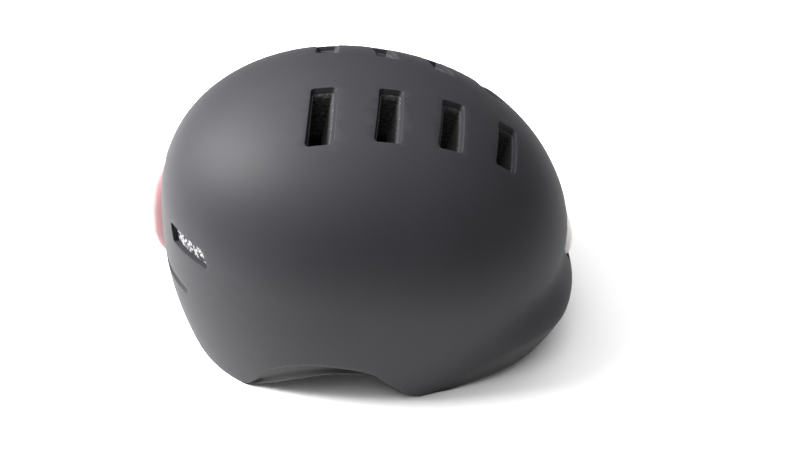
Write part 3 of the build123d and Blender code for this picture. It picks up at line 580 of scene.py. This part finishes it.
FINISH = {
    "shell_abs": surface("shell plastic", abs_look((0.015, 0.015, 0.018), (0.021, 0.021, 0.0245),
                                                   2600.0), **{"Specular IOR Level": 0.16}),
    "wrap_abs": surface("wrap plastic", abs_look((0.014, 0.014, 0.015), (0.02, 0.02, 0.021),
                                                 2200.0), **{"Specular IOR Level": 0.25}),
    # the third colour and the share are the painted highlights on the foam beads
    "foam": surface("black foam", foam_look((0.005, 0.005, 0.006), (0.017, 0.017, 0.019),
                                            (0.05, 0.05, 0.055), 0.04)),
    # the second colour of each lens is its painted highlight near the top
    "red_lens": surface("red lens", lens_look((0.2, 0.008, 0.016), (0.42, 0.09, 0.12)),
                        **{"Transmission Weight": 0.55, "IOR": 1.49, "Coat Weight": 0.4}),
    "clear_lens": surface("clear lens", lens_look((0.75, 0.72, 0.7), (0.9, 0.88, 0.86)),
                          **{"Transmission Weight": 0.75, "IOR": 1.49, "Coat Weight": 0.4}),
    "lamp_black": surface("lamp housing", plain_look((0.012, 0.012, 0.013), (0.02, 0.02, 0.022),
                                                     900.0, 0.5)),
    "reflector": surface("reflector", plain_look((0.6, 0.58, 0.57), (0.72, 0.7, 0.69), 400.0, 0.25),
                         Metallic=0.9),
    "board": surface("circuit board", plain_look((0.02, 0.07, 0.035), (0.03, 0.1, 0.05), 500.0,
                                                 0.45)),
    "led": surface("light emitter", led_look, **{"Emission Color": (1.0, 0.82, 0.7),
                                                 "Emission Strength": 1.6}),
    "steel": surface("steel", plain_look((0.5, 0.5, 0.5), (0.62, 0.62, 0.62), 1500.0, 0.32),
                     Metallic=1.0),
    "battery_foil": surface("battery foil", plain_look((0.3, 0.31, 0.33), (0.42, 0.43, 0.45), 300.0,
                                                       0.3, 0.0001), Metallic=0.8),
    "rubber": surface("soft rubber", plain_look((0.012, 0.012, 0.013), (0.022, 0.022, 0.024),
                                                1800.0, 0.72, 0.00006)),
    "fit_nylon": surface("nylon", plain_look((0.014, 0.014, 0.015), (0.024, 0.024, 0.026), 1300.0,
                                             0.48, 0.00005)),
    "acetal": surface("acetal", plain_look((0.6, 0.6, 0.58), (0.7, 0.7, 0.67), 700.0, 0.4)),
    "pad_cloth": surface("pad knit", cloth_look((0.012, 0.012, 0.013), (0.035, 0.035, 0.038),
                                                3200.0)),
    "webbing": surface("woven tape", web_look((0.008, 0.008, 0.009), (0.028, 0.028, 0.03),
                                              2400.0)),
    "cable": surface("cable sheath", plain_look((0.01, 0.01, 0.01), (0.02, 0.02, 0.02), 800.0,
                                                0.55)),
}
SLOT_OF = {part["node"]: part["material_slot"] for part in frame["record"]["subparts"]}
BODY_OF = {node: body for body, nodes in frame["record"]["behaviour"]["bodies"].items()
           for node in nodes}


def dress(node, bevel=0.0, segments=3):
    """Finish of a carried-over CAD node, with welded points and softened edges."""
    piece = frame["nodes"][node]
    piece.data.materials.clear()
    piece.data.materials.append(FINISH[SLOT_OF[node]])
    if bevel:
        merge = piece.modifiers.new("merge", "WELD")
        merge.merge_threshold = 0.00002
        soften = piece.modifiers.new("soften", "BEVEL")
        soften.width = bevel
        soften.segments = segments
        soften.limit_method = "ANGLE"
        soften.angle_limit = math.radians(32)
        soften.harden_normals = False


# ---------------------------------------------------------------- shell
VENTS = vent_openings()
UPPER_OUTLINE = [(-18, -6.5), (16, -5), (20.5, 6.5), (-14, 6)]
LOWER_OUTLINE = [(-18, -5), (18, -2.4), (18, 2), (-18, 5)]
UPPER_SLOTS = [Opening((-106, s * 69.5, 99), (0.71, s * 0.70, 0), (-0.67, s * 0.68, 0.3),
                       UPPER_OUTLINE if s > 0 else [(x, -y) for x, y in UPPER_OUTLINE][::-1], 2.2,
                       (math.atan2(s * 69.5, -106), 0.12)) for s in (-1, 1)]
LOWER_SLOTS = [Opening((-121, s * 55, 63), (0.479, s * 0.878, 0), (-0.878, s * 0.479, 0),
                       LOWER_OUTLINE if s > 0 else [(x, -y) for x, y in LOWER_OUTLINE][::-1], 1.8,
                       (math.atan2(s * 55, -121), -0.2)) for s in (-1, 1)]


def lamp_opening(x, z, lean, width, low, high, sign, heading, gap=0.5):
    """Opening for a lamp: a rectangle on a leaning plane in front of or behind the helmet."""
    lean = math.radians(lean)
    out = (sign * math.cos(lean), 0, math.sin(lean))
    half = width / 2 + gap
    across = (0, 1, 0)
    up = np.cross(out, across)
    low, high = (low - gap, high + gap) if up[2] > 0 else (-high - gap, -low + gap)
    corners = [(-half, low), (half, low), (half, high), (-half, high)]
    return Opening((x, 0, z), across, out, corners, 1.6, (heading, 0.0))


REAR_OPENING = lamp_opening(-125.5, 84, 9, 45, -38.4, 37.2, -1, math.pi - 1e-3)
FRONT_OPENING = lamp_opening(120, 70, 14, 52, -28.6, 22.3, 1, 1e-3)
OPENINGS = VENTS + UPPER_SLOTS + LOWER_SLOTS + [REAR_OPENING, FRONT_OPENING]


def shell_edge(phi):
    return edge_level(phi, SHELL_EDGE)


def build_shell():
    """Painted shell: skin above the lower edge, with a rounded lip and a slanting flange at each
    vent and slot, and short returns at the lamps."""
    loops = [o.loop() for o in OPENINGS]
    uv, faces = panel(shell_edge, loops)
    parts = [(skin(uv[:, 0], uv[:, 1]), faces.tolist())]
    for opening in VENTS:
        parts.append(opening.wall(VENT_WALL))
    for opening in UPPER_SLOTS + LOWER_SLOTS:
        parts.append(opening.wall(LIP + [(0.9, 2.2), (1.1, 3.4)]))
    for opening in (REAR_OPENING, FRONT_OPENING):
        parts.append(opening.wall([(0, 0), (0.05, 0.1), (0.1, 0.5), (0.1, 1.6)]))
    phi = np.linspace(-math.pi, math.pi, 480, endpoint=False)
    level = shell_edge(phi)
    rim = []
    for inward, drop in [(0, 0), (0.1, 0.25), (0.35, 0.45), (0.7, 0.55), (1.6, 0.5), (2.2, -0.6)]:
        p = skin(phi, level)
        n = normal(np.stack([phi, level], -1))
        rim.append(p - inward * n - drop * np.array([0, 0, 1]) * 0.4)
    parts.append(ring_wall(rim))
    shell = make("shell_skin", *join_parts(parts), "shell_abs")
    weld(shell, 0.01)
    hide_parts("outer_shell")
    return shell


FIT_AXIS_X = -27.5


def recess(points):
    """Room in the foam for the fit system: points low down are pushed out to at least a given
    distance from its upright axis, further behind the dial."""
    p = np.array(points, float)
    dx, dy = p[..., 0] - FIT_AXIS_X, p[..., 1]
    r = np.maximum(np.hypot(dx, dy), 1e-6)
    low = step((76 - p[..., 2]) / 12) * step((20 - p[..., 0]) / 20)
    dial = step((26 - np.abs(dy)) / 6) * step((66 - p[..., 2]) / 12) * (dx < 0)
    wanted = np.maximum(r, 86.0 + 11.0 * dial)
    k = 1 + low * (wanted / r - 1)
    p[..., 0], p[..., 1] = FIT_AXIS_X + dx * k, dy * k
    return p


def build_foam():
    """Liner: outer and inner offset surfaces joined by the walls of the channels and by the lower
    edge.  The lamps sit in pockets that go right through it, hidden by the lamps."""
    outer_inset, inner_inset = 3.0, 29.0

    def border(phi):
        return edge_level(phi, SHELL_EDGE, outer_inset, 2.0, False)

    channels = VENTS
    grow = -0.1
    outer_loops = [o.loop(grow + 2.0, outer_inset, False) for o in channels]
    inner_loops = [o.loop(grow + 4.0, inner_inset, False) for o in channels]
    pockets = [REAR_OPENING.loop(-0.6, outer_inset, False), FRONT_OPENING.loop(-0.6, outer_inset,
                                                                               False)]
    deep = [REAR_OPENING.loop(-0.6, inner_inset, False), FRONT_OPENING.loop(-0.6, inner_inset,
                                                                            False)]
    uv, faces = panel(border, outer_loops + pockets, 4.5, 200)
    parts = [(skin(uv[:, 0], uv[:, 1], outer_inset, False), faces.tolist())]

    def inner_border(phi):
        return edge_level(phi, SHELL_EDGE, inner_inset, 6.0, False)

    uv, faces = panel(inner_border, inner_loops + deep, 4.5, 200)
    parts.append((recess(skin(uv[:, 0], uv[:, 1], inner_inset, False)), faces[:, ::-1].tolist()))
    for near, far in zip(outer_loops + pockets, inner_loops + deep):
        a = skin(near[:, 0], near[:, 1], outer_inset, False)
        b = recess(skin(far[:, 0], far[:, 1], inner_inset, False))
        parts.append(ring_wall([a * (1 - t) + b * t for t in np.linspace(0, 1, 9)]))
    phi = np.linspace(-math.pi, math.pi, 400, endpoint=False)
    a = skin(phi, border(phi), outer_inset, False)
    b = recess(skin(phi, inner_border(phi), inner_inset, False))
    parts.append(ring_wall([a * (1 - t) + b * t for t in np.linspace(0, 1, 9)]))
    foam = make("foam_liner", *join_parts(parts), "foam")
    weld(foam, 0.01)
    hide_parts("eps_liner")
    return foam


def build_wrap():
    """Lower wrap: a closed profile carried round the helmet.  It starts behind the shell's rim,
    runs down the same skin to the wrap's own edge, rounds it and comes back up inside.  Where the
    two side-view lines part over the ears it sinks in, by a share of the gap between them."""
    phi = np.linspace(-math.pi, math.pi, 720, endpoint=False)
    top, foot = edge_level(phi, SHELL_EDGE), edge_level(phi, WRAP_EDGE)
    turn = np.degrees(np.abs(phi))
    ear = step((turn - 60) / 22) * (1 - step((turn - 150) / 20))
    sunk = 0.45 + 3.4 * ear * step((top - foot) * WAIST / 9)
    rings = []

    def ring(level, inward, drop=0.0):
        n = normal(np.stack([phi, level], -1))
        rings.append(skin(phi, level) - np.asarray(inward)[..., None] * n
                     - drop * np.array([0, 0, 1]))

    for t in np.linspace(0, 1, 4):
        ring(top + (4 - 3.8 * t) / WAIST, 2.6 - 0.2 * t + 0 * phi)
    for t in np.linspace(0, 1, 16):
        ring(top + (foot - top) * t, sunk * (1 - 0.6 * step((t - 0.6) / 0.4)) + 0 * phi)
    for inward, drop in [(0.45, 0.15), (0.8, 0.2), (1.2, 0.15), (1.7, -0.1), (2.0, -0.6)]:
        ring(foot, inward + 0.4 * sunk, drop)
    for t in np.linspace(0.1, 1, 8):
        ring(foot + 14 / WAIST * t, 2.2 + 0.4 * sunk + 0.8 * t)
    rings = [np.maximum(r, [-999, -999, 0.02]) for r in rings]
    wrap = make("wrap_band", *ring_wall(rings), "wrap_abs")
    weld(wrap, 0.004)
    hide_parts("lower_wrap")
    return wrap


class Dome:
    """Lamp lens: a side-view outline with smooth ends, faded to its sides by a super-ellipse,
    and a second sheet inside it."""

    def __init__(self, origin, lean, sign, width, outline, wall):
        lean = math.radians(lean)
        self.origin = np.array(origin, float)
        self.out = np.array([sign * math.cos(lean), 0, math.sin(lean)])
        self.up = np.array([-sign * math.sin(lean), 0, math.cos(lean)])
        self.half, self.outline, self.wall = width / 2, outline, wall

    def sheet(self, inset, dimple=None):
        low, high = self.outline[0][0] + inset, self.outline[-1][0] - inset
        a = np.linspace(-math.pi / 2, math.pi / 2, 90)
        t = (low + high) / 2 + (high - low) / 2 * np.sin(a)
        y = (self.half - inset) * np.sin(np.linspace(-math.pi / 2, math.pi / 2, 80))
        rise = curve(self.outline, t)[:, None] - inset
        u = np.clip(np.abs(y) / (self.half - inset), 0, 1)
        w = np.clip(np.abs(2 * t - low - high) / (high - low), 0, 1)
        fade = (1 - u ** 5)[None, :] ** 0.5 * (1 - w ** 14)[:, None] ** 0.5
        height = 0.3 + (rise - 0.3) * fade
        if dimple:
            away = np.hypot(t[:, None] - dimple[0], y[None, :])
            sink = 1 - step((away - dimple[1]) / 1.2)
            height = height * (1 - sink) + np.minimum(height, dimple[2] - inset) * sink
        grid = (self.origin + t[:, None, None] * self.up + height[..., None] * self.out
                + y[None, :, None] * np.array([0, 1, 0]))
        return grid.reshape(-1, 3), grid_faces(90, 80)


def build_lens(name, node, dome, dimple=None):
    """Closed lens body: outer sheet, inner sheet turned over, and a rim between their borders."""
    outer, faces = dome.sheet(0.0, dimple)
    inner, inner_faces = dome.sheet(dome.wall, dimple)
    border = np.concatenate([np.arange(80), np.arange(159, 7200, 80), np.arange(7198, 7119, -1),
                             np.arange(7040, 79, -80)])
    rim = ring_wall([outer[border], inner[border]])
    points, faces = join_parts([(outer, faces), (inner, [f[::-1] for f in inner_faces]), rim])
    lens = make(name, points, faces, SLOT_OF[node])
    weld(lens, 0.004)
    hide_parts(node)
    return lens


build_shell()
build_foam()
build_wrap()
REAR_DOME = Dome((-125.5, 0, 84), 9, -1, 45, [(-37.8, 8.8), (-33, 13.6), (-27, 16.4), (-20, 17.8),
                                              (-8, 17.9), (4, 16.9), (18.5, 14.2), (30, 9.4),
                                              (37.2, 5.3)], 1.6)
FRONT_DOME = Dome((120, 0, 70), 14, 1, 52, [(-28.4, 11.6), (-24, 14.8), (-14, 15.9), (-5, 15.2),
                                            (4, 13.6), (13, 11.1), (22.3, 7.8)], 1.6)
build_lens("rear_lens_dome", "rear_light_lens", REAR_DOME, (-22, 5.9, 15.3))
build_lens("front_lens_dome", "front_light_lens", FRONT_DOME)

# ---------------------------------------------------------------- straps
STRAPS = [node for node, name in SLOT_OF.items() if name == "webbing"]


def ribbon(name, node):
    """Tape in place of a CAD strap.  A flat tape runs along the strap's longest direction and lies
    flat; a chin tape stands on edge along the circle fitted to the strap's outline.  The
    cross-section is a super-ellipse with shallow ribs, swept along that line."""
    mesh = frame["nodes"][node].data
    points = np.empty(len(mesh.vertices) * 3)
    mesh.vertices.foreach_get("co", points)
    points = points.reshape(-1, 3) / MM
    low, high = points[:, 2].min(), points[:, 2].max()
    x, y = points[:, 0], points[:, 1]
    if "chin" in node:
        a, b, c = np.linalg.lstsq(np.stack([2 * x, 2 * y, np.ones_like(x)], -1), x ** 2 + y ** 2,
                                  rcond=None)[0]
        radius = math.sqrt(c + a * a + b * b)
        heading = np.arctan2(y - b, x - a)
        around = np.linspace(heading.min(), heading.max(), 60)
        side = np.stack([np.cos(around), np.sin(around)], -1)
        centre = np.array([a, b]) + radius * side
        half = np.ptp(np.hypot(x - a, y - b)) / 2
    else:
        middle = points[:, :2].mean(0)
        along = np.linalg.svd(points[:, :2] - middle, full_matrices=False)[2][0]
        across = np.array([-along[1], along[0]])
        t, w = (points[:, :2] - middle) @ along, (points[:, :2] - middle) @ across
        order = np.linspace(t.min() + 0.1, t.max() - 0.1, 60)
        centre = middle + order[:, None] * along + (w.max() + w.min()) / 2 * across
        side = np.tile(across, (60, 1))
        half = np.ptp(w) / 2
    angle = np.linspace(0, 2 * math.pi, 48, endpoint=False)
    c, s = np.cos(angle), np.sin(angle)
    wide = max(half, (high - low) / 2)
    upright = half < (high - low) / 2
    long_axis = np.sign(c) * np.abs(c) ** 0.25 * (wide - 0.05)
    thin = min(half, (high - low) / 2) - 0.1
    short_axis = np.sign(s) * (np.abs(s) ** 0.5 * thin
                               + 0.05 * np.cos(long_axis * 2 * math.pi / 1.9) * np.abs(s))
    cx, cz = (short_axis, long_axis) if upright else (long_axis, short_axis)
    rings = np.empty((60, 48, 3))
    rings[..., :2] = centre[:, None] + cx[None, :, None] * side[:, None]
    rings[..., 2] = (low + high) / 2 + cz
    faces = grid_faces(60, 48, closed=True)
    faces += [list(range(48))[::-1], list(range(48 * 59, 48 * 60))]
    tape = make(name, rings.reshape(-1, 3), faces, "webbing")
    weld(tape, 0.001)
    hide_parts(node)
    return tape


for strap in STRAPS:
    ribbon(strap + "_tape", strap)


# ---------------------------------------------------------------- pads
def stuffed(node, size=0.005):
    """Pad made from the CAD pad's own shape: a voxel remesh, a short cloth simulation under
    pressure, smoothing and one subdivision.  The simulation moves the points by well under a
    millimetre, and the remesh trims pads that are thinner than a voxel."""
    source = frame["nodes"][node]
    mesh = source.data.copy()
    pad = bpy.data.objects.new(node + "_knit", mesh)
    bpy.context.scene.collection.objects.link(pad)
    bpy.context.view_layer.objects.active = pad
    remesh = pad.modifiers.new("remesh", "REMESH")
    remesh.mode = "VOXEL"
    remesh.voxel_size = size
    with bpy.context.temp_override(object=pad, active_object=pad, selected_objects=[pad]):
        bpy.ops.object.modifier_apply(modifier="remesh")
    rest = np.empty(len(pad.data.vertices) * 3)
    pad.data.vertices.foreach_get("co", rest)
    rest = rest.reshape(-1, 3)
    cloth = pad.modifiers.new("cloth", "CLOTH")
    cloth.settings.use_pressure = True
    cloth.settings.uniform_pressure_force = 4.0
    cloth.settings.effector_weights.gravity = 0.0
    cloth.settings.tension_stiffness = 40
    cloth.settings.compression_stiffness = 40
    cloth.settings.bending_stiffness = 2
    cloth.point_cache.frame_start = 1
    cloth.point_cache.frame_end = 20
    for number in range(1, 21):
        bpy.context.scene.frame_set(number)
    with bpy.context.temp_override(object=pad, active_object=pad, selected_objects=[pad]):
        bpy.ops.object.modifier_apply(modifier="cloth")
    bpy.context.scene.frame_set(1)
    moved = np.empty(len(pad.data.vertices) * 3)
    pad.data.vertices.foreach_get("co", moved)
    moved = moved.reshape(-1, 3)
    change = moved - rest
    length = np.linalg.norm(change, axis=1, keepdims=True)
    change *= np.minimum(1.0, 0.0022 / np.maximum(length, 1e-9))
    pad.data.vertices.foreach_set("co", (rest + change).ravel())
    pad.data.update()
    relax = pad.modifiers.new("relax", "SMOOTH")
    relax.factor = 0.5
    relax.iterations = 6
    finer = pad.modifiers.new("finer", "SUBSURF")
    finer.levels = 1
    finer.render_levels = 1
    pad.data.polygons.foreach_set("use_smooth", [True] * len(pad.data.polygons))
    pad.data.materials.clear()
    pad.data.materials.append(FINISH["pad_cloth"])
    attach(pad, BODY_OF[node])
    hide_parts(node)
    return pad


PADS = [node for node, name in SLOT_OF.items() if name == "pad_cloth"]
for pad_node in PADS:
    stuffed(pad_node, 0.004 if pad_node in ("nape_pad", "chin_pad") else 0.005)

# ---------------------------------------------------------------- carried-over CAD nodes
EDGE = {"dial_knob": 0.0005, "power_button": 0.0004, "cradle_housing": 0.0004,
        "cradle_cover": 0.0003, "buckle_socket": 0.0006, "buckle_tongue": 0.0004,
        "strap_divider_left": 0.0005, "strap_divider_right": 0.0005, "usb_cover": 0.0002}
GONE = {"outer_shell", "eps_liner", "lower_wrap", "rear_light_lens", "front_light_lens",
        *PADS, *STRAPS}
for node in SLOT_OF:
    if node not in GONE:
        dress(node, EDGE.get(node, 0.0))

# ---------------------------------------------------------------- floor, light and camera
floor = bpy.data.objects.new("floor", bpy.data.meshes.new("floor"))
floor.data.from_pydata([(-3, -3, 0), (3, -3, 0), (3, 3, 0), (-3, 3, 0)], [], [(0, 1, 2, 3)])
bpy.context.scene.collection.objects.link(floor)
floor.location.z = -0.0002
floor.data.materials.append(surface("pale floor", plain_look((0.86, 0.86, 0.86), (0.9, 0.9, 0.9),
                                                             4.0, 0.9, 0.0)))

world = bpy.data.worlds.new("studio")
bpy.context.scene.world = world
world.use_nodes = True
world.node_tree.nodes["Background"].inputs["Color"].default_value = (1, 1, 1, 1)
world.node_tree.nodes["Background"].inputs["Strength"].default_value = 0.2


def area_light(name, place, aim, size, power):
    """Soft square light that looks at a point."""
    lamp = bpy.data.lights.new(name, "AREA")
    lamp.shape = "SQUARE"
    lamp.size = size
    lamp.energy = power
    holder = bpy.data.objects.new(name, lamp)
    bpy.context.scene.collection.objects.link(holder)
    holder.location = place
    holder.rotation_euler = (Vector(aim) - Vector(place)).to_track_quat("-Z", "Y").to_euler()


area_light("key", (-0.85, 0.05, 0.8), (-0.05, 0, 0.1), 0.6, 46)
area_light("overhead", (-0.4, 0.2, 1.8), (-0.1, 0.05, 0), 2.6, 66)

camera = bpy.data.objects.new("camera", bpy.data.cameras.new("camera"))
bpy.context.scene.collection.objects.link(camera)
camera.data.lens = 26.84
camera.data.sensor_width = 36
turn = Matrix(((0.99713, 0.00625, -0.07543), (-0.06269, 0.62659, -0.77683),
               (0.04241, 0.77933, 0.62518)))
camera.matrix_world = Matrix.Translation((-0.01308, -0.32761, 0.31953)) @ turn.to_4x4()
bpy.context.scene.camera = camera
bpy.context.scene.view_settings.view_transform = "Standard"
